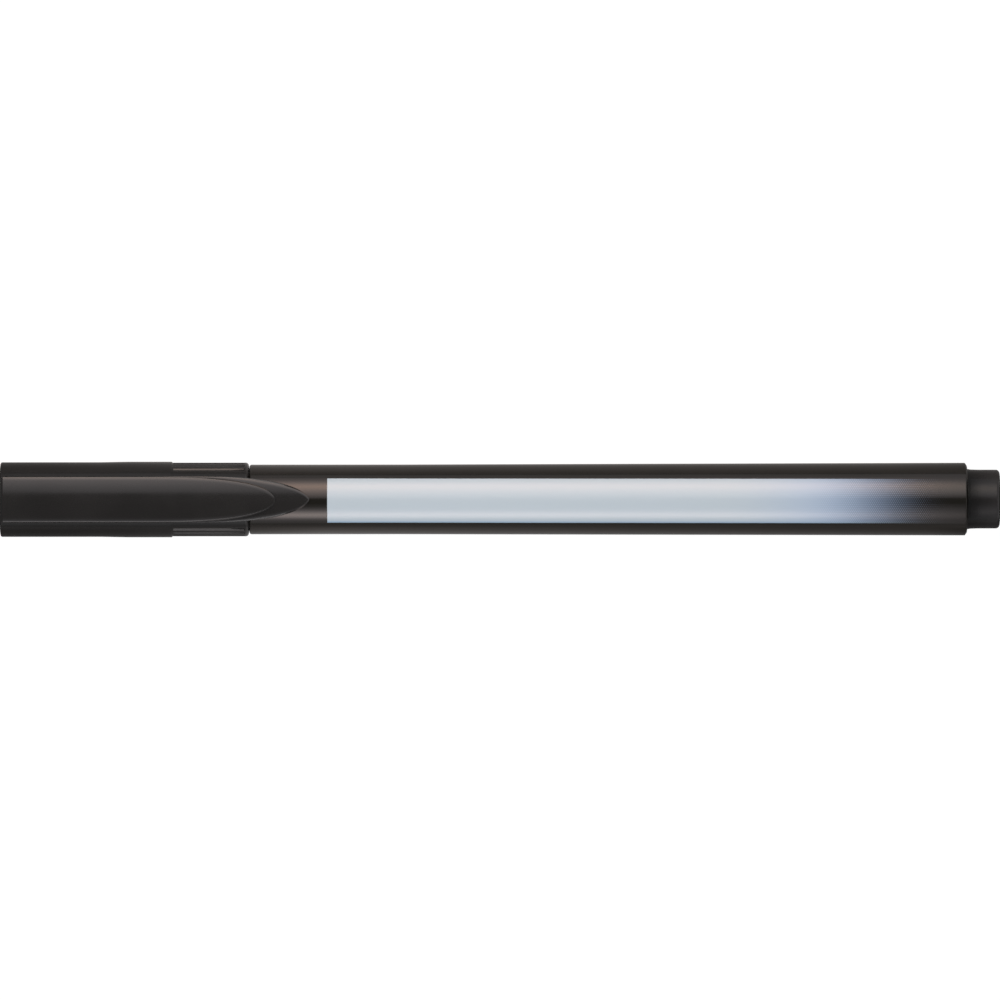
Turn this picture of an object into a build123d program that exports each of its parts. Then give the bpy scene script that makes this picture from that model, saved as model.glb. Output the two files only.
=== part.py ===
from build123d import *
import math
import os

# Capped fineliner pen, lying on its side with the clip on top.
# +X runs from the cap's crown to the tail, +Z is up through the clip, and the
# origin is on the surface under the middle of the pen. All sizes are millimetres.
# A station is a distance along the pen from the crown, and a radius starts at the pen's axis.

# Whole pen
pen_length = 140.0

# Fits between pieces
press_clearance = 0.02      # radial, between pieces that are pushed together for good
guide_clearance = 0.07      # radial, section's seat in the cap's mouth
bead_clearance = 0.03       # radial, friction beads in the cap's mouth
post_clearance = 0.04       # radial, cap's mouth when it is pushed onto the tail
seal_clearance = 0.05       # radial, inner cap round the section's nose
rib_clearance = 0.04        # radial, barrel ribs round the reservoir
nib_clearance = 0.03        # radial, nib in its sleeve
mouth_gap = 0.20            # axial, cap's mouth to the barrel

# Barrel
barrel_bore_radius = 3.95
barrel_wall = 0.925         # wall at the front
barrel_swell = 0.205        # growth of the radius from the front to the rear
barrel_straight = 21.0      # length before the radius starts to grow
barrel_edge_chamfer = 0.22
rear_cone_length = 0.35     # sloping end of the barrel
rear_land = 0.28            # flat ring that the tail plug sits on
rib_count = 4
rib_width = 0.8
rib_height = 0.49
rib_setback = 4.0           # rib ends to the section and to the plug

# Cap shell
cap_length = 34.85
cap_wall = 1.135            # wall at the belly
belly_length = 5.6          # full-width length before the fluted band
swell_length = 5.0          # length in which the cap grows to its full width
swell_height = 0.065
band_length = 10.75         # fluted band, up to the mouth
band_step = 0.12            # how far the band lies below the belly
crown_thickness = 1.3
crown_rise = 0.14           # how far the middle of the crown stands out
crown_edge_chamfer = 0.18
mouth_edge_chamfer = 0.3
mouth_spare = 2.7           # wide bore ahead of the section's seat
deep_bore_step = 0.10       # how much tighter the deeper bore is
bore_lead_in = 0.25
flute_count = 30
flute_depth = 0.12
flute_width = 0.8
flute_margin = 0.65         # plain lip between the flutes and the mouth

# Clip
clip_width = 6.44
clip_gap = 1.0              # pocket gap between the belly and the clip
tongue_thickness = 0.95
land_height = 0.5           # raised land on top of the tongue
clip_crown_radius = 20.0    # crosswise roundness of the clip's top
land_edge_chamfer = 0.2
tongue_edge_chamfer = 0.12
foot_inset = 0.4            # crown to the clip's foot
foot_length = 6.6
foot_edge_chamfer = 0.15
clip_overhang = 8.62        # how far the tip reaches past the mouth
clip_bend_length = 16.4     # curved stretch that ends at the tip
clip_tip_gap = 0.4          # tip to barrel
tongue_nose_length = 14.75  # stretch in which the tongue narrows to its tip
tongue_nose_pull = 8.85     # how far the straight sides carry into the nose
tongue_tip_angle = 49.0     # half angle of the pointed tip
tongue_tip_pull = 2.75      # how far the tip's slope carries into the nose
tongue_tip_radius = 0.3
land_setback = 4.87         # tip to the end of the raised land
land_nose_length = 13.7     # half ellipse that ends the raised land

# Inner cap
inner_cap_floor = 0.9
inner_cap_wall = 0.55
inner_cap_chamfer = 0.12
inner_cap_lip_gap = 0.4     # lip to the end of the grip
fin_count = 4
fin_height = 0.68
fin_width = 0.7
fin_length = 9.0

# Section
spigot_length = 9.5
spigot_chamfer = 0.3
vent_count = 2
vent_width = 0.8
vent_depth = 0.4
seat_step = 0.15            # how far the seat stands out from the spigot
seat_length = 7.5
seat_shoulder = 0.5         # step from the seat down to the grip
bead_width = 0.8
bead_setback = 1.6          # barrel to the rear bead
bead_pitch = 3.6
grip_slope_length = 1.4     # slope from the grip down to the nose
nose_length = 4.8
cone_length = 3.6
cone_rim = 0.48             # wall round the sleeve at the tip of the cone
cone_chamfer = 0.12

# Nib
nib_room = 2.6              # free length between the nib and the inner cap's floor
sleeve_radius = 0.85
sleeve_wall = 0.33
sleeve_rim = 0.19           # wall at the drawn-in front
sleeve_reach = 2.9          # length that stands out of the section
sleeve_seat = 7.2           # length held in the section
sleeve_taper = 1.0
point_radius = 0.2
point_reach = 1.2           # length that stands out of the sleeve
point_chamfer = 0.09
nib_step = 0.5              # sleeve front to the nib's thick shank
nib_tail_length = 3.4       # shank behind the sleeve

# Ink supply
wick_web = 0.8              # wall between the sleeve's seat and the wick
wick_radius = 1.05
wick_reach = 13.0           # length pushed into the reservoir
wick_socket_spare = 0.2
film_thickness = 0.1

# Tail plug
tail_length = 4.7
tail_edge_radius = 0.65
tail_edge_facets = 3        # the rounded edge is made of short flat cones
tail_wall = 1.4
skirt_length = 9.0
skirt_wall = 0.95

# Radii that follow from the sizes above, from the barrel's bore outwards and inwards
barrel_front_radius = barrel_bore_radius + barrel_wall
barrel_rear_radius = barrel_front_radius + barrel_swell
rear_land_radius = barrel_bore_radius + rear_land
fitted_radius = barrel_bore_radius - press_clearance
seat_radius = fitted_radius + seat_step
mouth_bore_radius = seat_radius + guide_clearance
deep_bore_radius = mouth_bore_radius - deep_bore_step
bead_radius = mouth_bore_radius - bead_clearance
tail_radius = mouth_bore_radius - post_clearance
belly_radius = mouth_bore_radius + cap_wall
crown_radius = belly_radius - swell_height
band_radius = belly_radius - band_step
inner_cap_base_radius = deep_bore_radius - press_clearance
inner_cap_radius = inner_cap_base_radius - fin_height
inner_cap_bore = inner_cap_radius - inner_cap_wall
nose_radius = inner_cap_bore - seal_clearance
grip_radius = seat_radius - seat_shoulder
sleeve_hole_radius = sleeve_radius + press_clearance
cone_front_radius = sleeve_hole_radius + cone_rim
sleeve_bore = sleeve_radius - sleeve_wall
sleeve_mouth_radius = point_radius + nib_clearance
sleeve_front_radius = sleeve_mouth_radius + sleeve_rim
nib_shank_radius = sleeve_bore - nib_clearance
wick_hole_radius = wick_radius + press_clearance
film_radius = barrel_bore_radius - rib_height - rib_clearance
reservoir_radius = film_radius - film_thickness - press_clearance
axis_height = max(belly_radius, barrel_front_radius, barrel_rear_radius)

# Stations that follow from the sizes above
band_start = cap_length - band_length
belly_start = band_start - belly_length
swell_start = belly_start - swell_length
foot_end = foot_inset + foot_length
clip_tip = cap_length + clip_overhang
bend_start = clip_tip - clip_bend_length
tongue_nose_start = clip_tip - tongue_nose_length
land_end = clip_tip - land_setback
land_nose_start = land_end - land_nose_length
barrel_front = cap_length + mouth_gap
taper_start = barrel_front + barrel_straight
barrel_rear = pen_length - tail_length
skirt_front = barrel_rear - skirt_length
section_rear = barrel_front + spigot_length
seat_front = barrel_front - seat_length
deep_bore_end = seat_front - mouth_spare
inner_cap_base = crown_thickness
inner_cap_inside = inner_cap_base + inner_cap_floor
nib_tip = inner_cap_inside + nib_room
sleeve_front = nib_tip + point_reach
cone_front = sleeve_front + sleeve_reach
nose_front = cone_front + cone_length
grip_front = nose_front + nose_length
inner_cap_lip = grip_front - inner_cap_lip_gap
sleeve_rear = cone_front + sleeve_seat
nib_rear = sleeve_rear + nib_tail_length
wick_front = sleeve_rear + wick_web
wick_rear = section_rear + wick_reach

# Heights of the clip over the pen's axis, and its bend towards the barrel
tongue_bottom = belly_radius + clip_gap
tongue_top = tongue_bottom + tongue_thickness
land_top = tongue_top + land_height
bend_drop = tongue_bottom - (barrel_front_radius + clip_tip_gap)
bend_radius = (clip_bend_length**2 + bend_drop**2) / (2 * bend_drop)
bend_angle = math.degrees(math.asin(clip_bend_length / bend_radius))
above_clip = land_top + axis_height

# Working planes: pen_profile holds (station, radius) half-sections, pen_plan looks down on the pen
crown_x = -pen_length / 2
pen_axis = Axis((crown_x, 0, axis_height), (1, 0, 0))
pen_profile = Plane(origin=(crown_x, 0, axis_height), x_dir=(1, 0, 0), z_dir=(0, -1, 0))
pen_plan = Plane(origin=(crown_x, 0, axis_height), x_dir=(1, 0, 0), z_dir=(0, 0, 1))


def cross_plane(station):
    # Plane square to the pen, with its first axis along +Y and its second up
    origin = (crown_x + station, 0, axis_height)
    return Plane(origin=origin, x_dir=(0, 1, 0), z_dir=(1, 0, 0))


def clip_section(bottom, top):
    # Crosswise outline of the clip: straight sides and a slightly rounded top
    half = clip_width / 2
    side_top = top - (clip_crown_radius - math.sqrt(clip_crown_radius**2 - half**2))
    with BuildSketch() as section:
        with BuildLine():
            ThreePointArc((-half, side_top), (0, top), (half, side_top))
            Polyline((half, side_top), (half, bottom), (-half, bottom), (-half, side_top))
        make_face()
    return section.sketch


os.makedirs("parts", exist_ok=True)

# Cap shell: a round cup with a domed swell, a fluted band at the mouth and the clip's foot
with BuildPart() as cap_shell:
    with BuildSketch(pen_profile):
        with BuildLine():
            Polyline(
                (0, 0),
                (crown_rise, crown_radius),
                (swell_start, crown_radius),
                (belly_start, belly_radius),
                (band_start, belly_radius),
                (band_start, band_radius),
                (cap_length, band_radius),
                (cap_length, 0),
                close=True,
            )
        make_face()
    revolve(axis=pen_axis)
    crown_edge = cap_shell.edges().filter_by(Plane.YZ).sort_by(Axis.X)[0]
    chamfer(crown_edge, length=crown_edge_chamfer)
    mouth_edge = cap_shell.edges().filter_by(Plane.YZ).sort_by(Axis.X)[-1]
    chamfer(mouth_edge, length=mouth_edge_chamfer)
    # Flutes: shallow grooves along the band, with none under the middle of the clip
    with BuildSketch(cross_plane(band_start)):
        with PolarLocations(band_radius, flute_count, start_angle=180 / flute_count):
            Polygon(
                (-flute_depth, 0),
                (flute_depth, -flute_width),
                (flute_depth, flute_width),
                align=None,
            )
    extrude(amount=band_length - flute_margin, mode=Mode.SUBTRACT)
    # Foot that carries the clip
    with BuildSketch(cross_plane(foot_inset)):
        add(clip_section(0, land_top))
    extrude(amount=foot_length)
    foot_top = cap_shell.faces().sort_by(Axis.Z)[-1]
    chamfer(foot_top.edges().filter_by(Axis.X), length=land_edge_chamfer)
    foot_rim = cap_shell.faces().sort_by(Axis.Z)[-1].edges().sort_by(Axis.X)[0]
    chamfer(foot_rim, length=foot_edge_chamfer)
    # Bore, wider at the mouth, with a small lead-in
    with BuildSketch(pen_profile):
        with BuildLine():
            Polyline(
                (crown_thickness, 0),
                (crown_thickness, deep_bore_radius),
                (deep_bore_end - deep_bore_step, deep_bore_radius),
                (deep_bore_end, mouth_bore_radius),
                (cap_length - bore_lead_in, mouth_bore_radius),
                (cap_length, mouth_bore_radius + bore_lead_in),
                (cap_length, 0),
                close=True,
            )
        make_face()
    revolve(axis=pen_axis, mode=Mode.SUBTRACT)
cap_shell.part.label = "cap_shell"
export_step(cap_shell.part, "parts/cap_shell.step")

# Raised land of the clip: a rounded bar that ends in a half ellipse
with BuildPart() as clip_land:
    with BuildLine(pen_profile) as land_path:
        Line((foot_end, 0), (bend_start, 0))
        JernArc((bend_start, 0), (1, 0), bend_radius, -bend_angle)
    with BuildSketch(cross_plane(foot_end)):
        add(clip_section(tongue_bottom + tongue_thickness / 2, land_top))
    sweep(path=land_path.wire())
    with BuildSketch(pen_plan):
        with BuildLine():
            Line((foot_end, 0), (foot_end, clip_width / 2))
            Line((foot_end, clip_width / 2), (land_nose_start, clip_width / 2))
            EllipticalCenterArc((land_nose_start, 0), land_nose_length, clip_width / 2, arc_size=90)
            mirror(about=Plane.XZ)
        make_face()
    extrude(amount=above_clip, mode=Mode.INTERSECT)
    land_face = clip_land.faces().sort_by(Axis.Z)[-1]
    chamfer(land_face.edges().sort_by(Axis.X)[1:], length=land_edge_chamfer)

# Clip: the springy tongue under the land, drawn to a point over the barrel
with BuildPart() as clip:
    with BuildLine(pen_profile) as tongue_path:
        Line((foot_end, 0), (bend_start, 0))
        JernArc((bend_start, 0), (1, 0), bend_radius, -bend_angle)
    with BuildSketch(cross_plane(foot_end)):
        add(clip_section(tongue_bottom, tongue_top))
    sweep(path=tongue_path.wire())
    tip_pull_x = clip_tip - tongue_tip_pull * math.cos(math.radians(tongue_tip_angle))
    tip_pull_y = tongue_tip_pull * math.sin(math.radians(tongue_tip_angle))
    with BuildSketch(pen_plan) as tongue_plan:
        with BuildLine():
            Line((foot_end, 0), (foot_end, clip_width / 2))
            Line((foot_end, clip_width / 2), (tongue_nose_start, clip_width / 2))
            Bezier(
                (tongue_nose_start, clip_width / 2),
                (tongue_nose_start + tongue_nose_pull, clip_width / 2),
                (tip_pull_x, tip_pull_y),
                (clip_tip, 0),
            )
            mirror(about=Plane.XZ)
        make_face()
        fillet(tongue_plan.vertices().sort_by(Axis.X)[-1], radius=tongue_tip_radius)
    extrude(amount=above_clip, mode=Mode.INTERSECT)
    tongue_faces = clip.faces().filter_by(lambda face: face.normal_at(face.center()).Z > 0.9)
    tongue_edges = tongue_faces.edges().filter_by(lambda edge: edge.center().X > crown_x + foot_end)
    chamfer(tongue_edges, length=tongue_edge_chamfer)
    add(clip_land.part)
clip.part.label = "clip"
export_step(clip.part, "parts/clip.step")

# Inner cap: a thimble that seals the nib, held in the shell by its base and fins
with BuildPart() as inner_cap:
    with BuildSketch(pen_profile):
        with BuildLine():
            Polyline(
                (inner_cap_base, 0),
                (inner_cap_base, inner_cap_base_radius),
                (inner_cap_inside, inner_cap_base_radius),
                (inner_cap_inside, inner_cap_radius),
                (inner_cap_lip, inner_cap_radius),
                (inner_cap_lip, inner_cap_bore),
                (inner_cap_inside, inner_cap_bore),
                (inner_cap_inside, 0),
                close=True,
            )
        make_face()
    revolve(axis=pen_axis)
    lip_edges = inner_cap.edges().filter_by(GeomType.CIRCLE).sort_by(Axis.X)[-2:]
    chamfer(lip_edges, length=inner_cap_chamfer)
    # Fins start inside the wall so that they are one with it
    fin_root = inner_cap_radius - inner_cap_wall / 2
    with BuildSketch(cross_plane(inner_cap_inside)):
        with PolarLocations((fin_root + inner_cap_base_radius) / 2, fin_count):
            Rectangle(inner_cap_base_radius - fin_root, fin_width)
    extrude(amount=fin_length)
inner_cap.part.label = "inner_cap"
export_step(inner_cap.part, "parts/inner_cap.step")

# Barrel: a long tube, straight behind the cap and then slowly wider, with reservoir ribs
with BuildPart() as barrel:
    with BuildSketch(pen_profile):
        with BuildLine():
            Polyline(
                (barrel_front, barrel_bore_radius),
                (barrel_front, barrel_front_radius),
                (taper_start, barrel_front_radius),
                (barrel_rear - rear_cone_length, barrel_rear_radius),
                (barrel_rear, rear_land_radius),
                (barrel_rear, barrel_bore_radius),
                close=True,
            )
        make_face()
    revolve(axis=pen_axis)
    front_rims = barrel.edges().filter_by(GeomType.CIRCLE).group_by(Axis.X)[0]
    chamfer(front_rims.sort_by(SortBy.RADIUS)[-1], length=barrel_edge_chamfer)
    # Ribs start inside the wall so that they are one with it
    rib_root = barrel_bore_radius + barrel_wall / 2
    rib_crest = barrel_bore_radius - rib_height
    with BuildSketch(cross_plane(section_rear + rib_setback)):
        with PolarLocations((rib_root + rib_crest) / 2, rib_count, start_angle=180 / rib_count):
            Rectangle(rib_root - rib_crest, rib_width)
    extrude(amount=skirt_front - section_rear - 2 * rib_setback)
barrel.part.label = "barrel"
export_step(barrel.part, "parts/barrel.step")

# Section: holds the nib and is pushed into the barrel; its seat guides the cap
with BuildPart() as section:
    rear_bead = barrel_front - bead_setback
    front_bead = rear_bead - bead_pitch
    with BuildSketch(pen_profile):
        with BuildLine():
            Polyline(
                (cone_front, 0),
                (cone_front, cone_front_radius),
                (nose_front, nose_radius),
                (grip_front, nose_radius),
                (grip_front + grip_slope_length, grip_radius),
                (seat_front, grip_radius),
                (seat_front, seat_radius),
                (barrel_front, seat_radius),
                (barrel_front, fitted_radius),
                (section_rear, fitted_radius),
                (section_rear, 0),
                close=True,
            )
        make_face()
    revolve(axis=pen_axis)
    spigot_rim = section.edges().filter_by(GeomType.CIRCLE).sort_by(Axis.X)[-1]
    chamfer(spigot_rim, length=spigot_chamfer)
    cone_edge = section.edges().filter_by(GeomType.CIRCLE).sort_by(Axis.X)[0]
    chamfer(cone_edge, length=cone_chamfer)
    # Friction beads that hold the cap
    for bead_station in (front_bead, rear_bead):
        with BuildSketch(pen_profile):
            with BuildLine():
                Polyline(
                    (bead_station - bead_width / 2, grip_radius),
                    (bead_station - bead_width / 2, seat_radius),
                    (bead_station, bead_radius),
                    (bead_station + bead_width / 2, seat_radius),
                    (bead_station + bead_width / 2, grip_radius),
                    close=True,
                )
            make_face()
        revolve(axis=pen_axis)
    # Stepped bore: sleeve seat, nib hole, wick channel
    with BuildSketch(pen_profile):
        with BuildLine():
            Polyline(
                (cone_front, 0),
                (cone_front, sleeve_hole_radius),
                (sleeve_rear, sleeve_hole_radius),
                (sleeve_rear, sleeve_bore),
                (wick_front, sleeve_bore),
                (wick_front, wick_hole_radius),
                (section_rear, wick_hole_radius),
                (section_rear, 0),
                close=True,
            )
        make_face()
    revolve(axis=pen_axis, mode=Mode.SUBTRACT)
    # Air vents along the spigot
    with BuildSketch(cross_plane(barrel_front)):
        with PolarLocations(fitted_radius, vent_count, start_angle=90):
            Rectangle(2 * vent_depth, vent_width)
    extrude(amount=spigot_length, mode=Mode.SUBTRACT)
section.part.label = "section"
export_step(section.part, "parts/section.step")

# Nib sleeve: a thin steel tube, drawn in at the front
with BuildPart() as nib_sleeve:
    with BuildSketch(pen_profile):
        with BuildLine():
            Polyline(
                (sleeve_front, sleeve_mouth_radius),
                (sleeve_front, sleeve_front_radius),
                (sleeve_front + sleeve_taper, sleeve_radius),
                (sleeve_rear, sleeve_radius),
                (sleeve_rear, sleeve_bore),
                (sleeve_front + sleeve_taper, sleeve_bore),
                (sleeve_front + nib_step, sleeve_mouth_radius),
                close=True,
            )
        make_face()
    revolve(axis=pen_axis)
nib_sleeve.part.label = "nib_sleeve"
export_step(nib_sleeve.part, "parts/nib_sleeve.step")

# Nib: a plastic point with a blunted end, on a thicker shank that reaches the wick
with BuildPart() as nib_point:
    with BuildSketch(pen_profile):
        with BuildLine():
            Polyline(
                (nib_tip, 0),
                (nib_tip, point_radius),
                (sleeve_front + nib_step, point_radius),
                (sleeve_front + sleeve_taper, nib_shank_radius),
                (nib_rear, nib_shank_radius),
                (nib_rear, 0),
                close=True,
            )
        make_face()
    revolve(axis=pen_axis)
    point_edge = nib_point.edges().filter_by(GeomType.CIRCLE).sort_by(Axis.X)[0]
    chamfer(point_edge, length=point_chamfer)
nib_point.part.label = "nib_point"
export_step(nib_point.part, "parts/nib_point.step")

# Wick: a fibre rod that carries ink from the reservoir to the nib
with BuildPart() as wick:
    socket_end = nib_rear + wick_socket_spare
    with BuildSketch(pen_profile):
        with BuildLine():
            Polyline(
                (wick_front, sleeve_bore),
                (wick_front, wick_radius),
                (wick_rear, wick_radius),
                (wick_rear, 0),
                (socket_end, 0),
                (socket_end, sleeve_bore),
                close=True,
            )
        make_face()
    revolve(axis=pen_axis)
wick.part.label = "wick"
export_step(wick.part, "parts/wick.step")

# Reservoir: a fibre core, bored for the wick
with BuildPart() as reservoir:
    with BuildSketch(pen_profile):
        with BuildLine():
            Polyline(
                (section_rear, wick_hole_radius),
                (section_rear, reservoir_radius),
                (skirt_front, reservoir_radius),
                (skirt_front, 0),
                (wick_rear, 0),
                (wick_rear, wick_hole_radius),
                close=True,
            )
        make_face()
    revolve(axis=pen_axis)
reservoir.part.label = "reservoir"
export_step(reservoir.part, "parts/reservoir.step")

# Film that wraps the reservoir
with BuildPart() as reservoir_film:
    with BuildSketch(cross_plane(section_rear)):
        Circle(film_radius)
        Circle(film_radius - film_thickness, mode=Mode.SUBTRACT)
    extrude(amount=skirt_front - section_rear)
reservoir_film.part.label = "reservoir_film"
export_step(reservoir_film.part, "parts/reservoir_film.step")

# Tail plug: closes the barrel, presses on the reservoir and takes the cap when it is posted
with BuildPart() as tail_plug:
    tail_edge = []
    for step in range(tail_edge_facets + 1):
        turn = math.radians(90 * step / tail_edge_facets)
        edge_station = pen_length - tail_edge_radius * (1 - math.sin(turn))
        edge_radius = tail_radius - tail_edge_radius * (1 - math.cos(turn))
        tail_edge.append((edge_station, edge_radius))
    with BuildSketch(pen_profile):
        with BuildLine():
            Polyline(
                (skirt_front, fitted_radius - skirt_wall),
                (skirt_front, fitted_radius),
                (barrel_rear, fitted_radius),
                (barrel_rear, tail_radius),
                *tail_edge,
                (pen_length, 0),
                (pen_length - tail_wall, 0),
                (pen_length - tail_wall, fitted_radius - skirt_wall),
                close=True,
            )
        make_face()
    revolve(axis=pen_axis)
tail_plug.part.label = "tail_plug"
export_step(tail_plug.part, "parts/tail_plug.step")
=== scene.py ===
from math import asin, cos, degrees, pi, radians, sin, sqrt, tan
import bmesh
import bpy
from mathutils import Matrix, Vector


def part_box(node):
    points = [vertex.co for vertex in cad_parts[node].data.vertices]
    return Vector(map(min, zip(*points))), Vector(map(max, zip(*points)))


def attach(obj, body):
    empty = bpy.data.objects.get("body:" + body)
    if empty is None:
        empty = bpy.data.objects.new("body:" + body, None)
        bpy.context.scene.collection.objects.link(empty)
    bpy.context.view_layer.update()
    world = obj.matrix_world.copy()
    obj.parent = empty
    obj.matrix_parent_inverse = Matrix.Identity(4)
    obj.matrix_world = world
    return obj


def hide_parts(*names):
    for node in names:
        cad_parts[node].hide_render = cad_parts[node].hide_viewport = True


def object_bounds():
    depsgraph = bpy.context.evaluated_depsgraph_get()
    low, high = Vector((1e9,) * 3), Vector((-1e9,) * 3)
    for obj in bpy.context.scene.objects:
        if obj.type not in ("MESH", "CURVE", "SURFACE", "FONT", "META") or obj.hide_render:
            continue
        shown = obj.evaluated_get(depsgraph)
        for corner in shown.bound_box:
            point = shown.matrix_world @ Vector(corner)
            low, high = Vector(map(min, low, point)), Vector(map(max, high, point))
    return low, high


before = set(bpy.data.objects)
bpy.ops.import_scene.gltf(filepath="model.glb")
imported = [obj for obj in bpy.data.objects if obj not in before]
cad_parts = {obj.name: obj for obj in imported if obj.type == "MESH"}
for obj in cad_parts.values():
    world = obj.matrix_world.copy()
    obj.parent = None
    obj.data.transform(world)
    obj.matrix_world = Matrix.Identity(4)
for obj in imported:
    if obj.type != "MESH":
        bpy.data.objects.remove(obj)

scene = bpy.context.scene
scene.view_settings.view_transform = "Standard"
cadLow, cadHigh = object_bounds()

# sizes are millimetres: stations run along the pen from the crown, heights go up from its axis
mm = 0.001
weld = 2e-7                                                  # metres: nearer mesh points become one
almost = 1e-6                                                # nearer radii count as the same
crownX = cadLow.x
barrelLow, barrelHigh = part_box("barrel")
axisZ = (barrelLow.z + barrelHigh.z) / 2


def spot(station, across, height):
    return Vector((crownX + station * mm, across * mm, axisZ + height * mm))


def shares(count):
    return [i / count for i in range(1, count + 1)]


def eased(t):
    return t * t * (3 - 2 * t)


def mixed(first, second, t):
    return tuple(a + (b - a) * t for a, b in zip(first, second))


# mesh helpers

def easeCorners(corners, closed=True, steps=7, guard=0.05, roomShare=0.9):
    # corners are (station, radius) or (station, radius, rounding); each rounding becomes an arc, and a
    # guard ring on either side of it, where there is room, keeps the shading of the long faces straight
    points = []
    count = len(corners)
    for i, corner in enumerate(corners):
        here = Vector(corner[:2])
        rounding = corner[2] if len(corner) > 2 else 0
        if rounding == 0 or (not closed and i in (0, count - 1)):
            points.append(tuple(here))
            continue
        back = Vector(corners[i - 1][:2]) - here
        ahead = Vector(corners[(i + 1) % count][:2]) - here
        backRoom, aheadRoom = back.length * roomShare, ahead.length * roomShare
        back.normalize()
        ahead.normalize()
        half = back.angle(ahead) / 2
        reach = rounding / tan(half)
        centre = here + (back + ahead).normalized() * (rounding / sin(half))
        start, end = here + back * reach - centre, here + ahead * reach - centre
        side = 1 if start.x * end.y - start.y * end.x > 0 else -1
        turn = side * (pi - 2 * half)
        if reach + guard < backRoom:
            points.append(tuple(here + back * (reach + guard)))
        for t in (0, *shares(steps)):
            a = turn * t
            points.append((centre.x + start.x * cos(a) - start.y * sin(a),
                           centre.y + start.x * sin(a) + start.y * cos(a)))
        if reach + guard < aheadRoom:
            points.append(tuple(here + ahead * (reach + guard)))
    return points


def skinRows(bm, rows, wrap=True):
    grid = [[bm.verts.new(p) for p in row] for row in rows]
    for a, b in zip(grid, grid[1:]):
        for k in range(len(a) if wrap else len(a) - 1):
            n = (k + 1) % len(a)
            bm.faces.new((a[k], a[n], b[n], b[k]))


def turned(outline, around=192, closed=True, shape=None):
    # spins an outline round the pen's axis; shape may change the radius at an angle from the top
    bm = bmesh.new()
    rows = []
    for station, radius in outline + (outline[:1] if closed else []):
        row = []
        for k in range(around):
            a = 2 * pi * k / around
            r = shape(station, radius, a) if shape else radius
            row.append(spot(station, r * sin(a), r * cos(a)))
        rows.append(row)
    skinRows(bm, rows)
    return bm


def toPiece(bm, name, body, node, finish, crease=34):
    bmesh.ops.remove_doubles(bm, verts=bm.verts, dist=weld)
    bmesh.ops.dissolve_degenerate(bm, edges=bm.edges, dist=weld / 2)
    openEdges = [e for e in bm.edges if e.is_boundary]
    if openEdges:
        bmesh.ops.holes_fill(bm, edges=openEdges)
    bmesh.ops.recalc_face_normals(bm, faces=bm.faces)
    mesh = bpy.data.meshes.new(name)
    bm.to_mesh(mesh)
    bm.free()
    mesh.shade_smooth()
    mesh.set_sharp_from_angle(angle=radians(crease))
    mesh.materials.append(finish)
    piece = bpy.data.objects.new(name, mesh)
    scene.collection.objects.link(piece)
    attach(piece, body)
    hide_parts(node)
    print(name, len(mesh.polygons), "faces on", body)
    return piece


# material helpers

midTones = (0.3, 0.7)                                        # noise values that a blend runs between
wideTones = (0.25, 0.75)
smearStretch = (0.25, 1, 1)                                  # smears run along the pen


def newFinish(name):
    finish = bpy.data.materials.new(name)
    finish.use_nodes = True
    return finish


def nodesOf(finish):
    tree = finish.node_tree
    return tree, tree.nodes["Principled BSDF"]


def calc(tree, operation, *values):
    node = tree.nodes.new("ShaderNodeMath")
    node.operation = operation
    for socket, value in zip(node.inputs, values):
        if isinstance(value, (int, float)):
            socket.default_value = value
        else:
            tree.links.new(value, socket)
    return node.outputs[0]


def smoothRange(tree, value, low, high, toLow=0.0, toHigh=1.0):
    node = tree.nodes.new("ShaderNodeMapRange")
    node.interpolation_type = "SMOOTHSTEP"
    tree.links.new(value, node.inputs["Value"])
    for key, v in zip(("From Min", "From Max", "To Min", "To Max"), (low, high, toLow, toHigh)):
        node.inputs[key].default_value = v
    return node.outputs["Result"]


def blendColour(tree, amount, first, second):
    node = tree.nodes.new("ShaderNodeMix")
    node.data_type = "RGBA"
    tree.links.new(amount, node.inputs["Factor"])
    for key, v in ((6, first), (7, second)):                 # the node's colour sockets
        if isinstance(v, tuple):
            node.inputs[key].default_value = (*v, 1)
        else:
            tree.links.new(v, node.inputs[key])
    return node.outputs[2]


def rampOf(tree, where, stops):
    # a colour ramp with a stop at each (position, colour)
    ramp = tree.nodes.new("ShaderNodeValToRGB")
    elements = ramp.color_ramp.elements
    while len(elements) < len(stops):
        elements.new(0.5)
    for element, (position, _) in zip(elements, stops):
        element.position = position
    for element, (_, colour) in zip(elements, stops):
        element.color = (*colour, 1)
    tree.links.new(where, ramp.inputs["Fac"])
    return ramp.outputs["Color"]


def splitCoords(tree, kind="Object"):
    coords = tree.nodes.new("ShaderNodeTexCoord")
    split = tree.nodes.new("ShaderNodeSeparateXYZ")
    tree.links.new(coords.outputs[kind], split.inputs[0])
    return split.outputs


def alongPen(tree, place):
    return calc(tree, "MULTIPLY", calc(tree, "SUBTRACT", place["X"], crownX), 1 / mm)


def millimetres(tree, stretch=(1, 1, 1)):
    coords = tree.nodes.new("ShaderNodeTexCoord")
    scale = tree.nodes.new("ShaderNodeMapping")
    scale.inputs["Scale"].default_value = tuple(v / mm for v in stretch)
    tree.links.new(coords.outputs["Object"], scale.inputs["Vector"])
    return scale.outputs["Vector"]


def grain(tree, where, scale, detail=3.0, rough=0.5):
    node = tree.nodes.new("ShaderNodeTexNoise")
    node.inputs["Scale"].default_value = scale
    node.inputs["Detail"].default_value = detail
    node.inputs["Roughness"].default_value = rough
    tree.links.new(where, node.inputs["Vector"])
    return node.outputs["Fac"]


def bumpOf(tree, height, depth, strength):
    node = tree.nodes.new("ShaderNodeBump")
    node.inputs["Distance"].default_value = depth * mm
    node.inputs["Strength"].default_value = strength
    tree.links.new(height, node.inputs["Height"])
    return node.outputs["Normal"]


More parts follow.
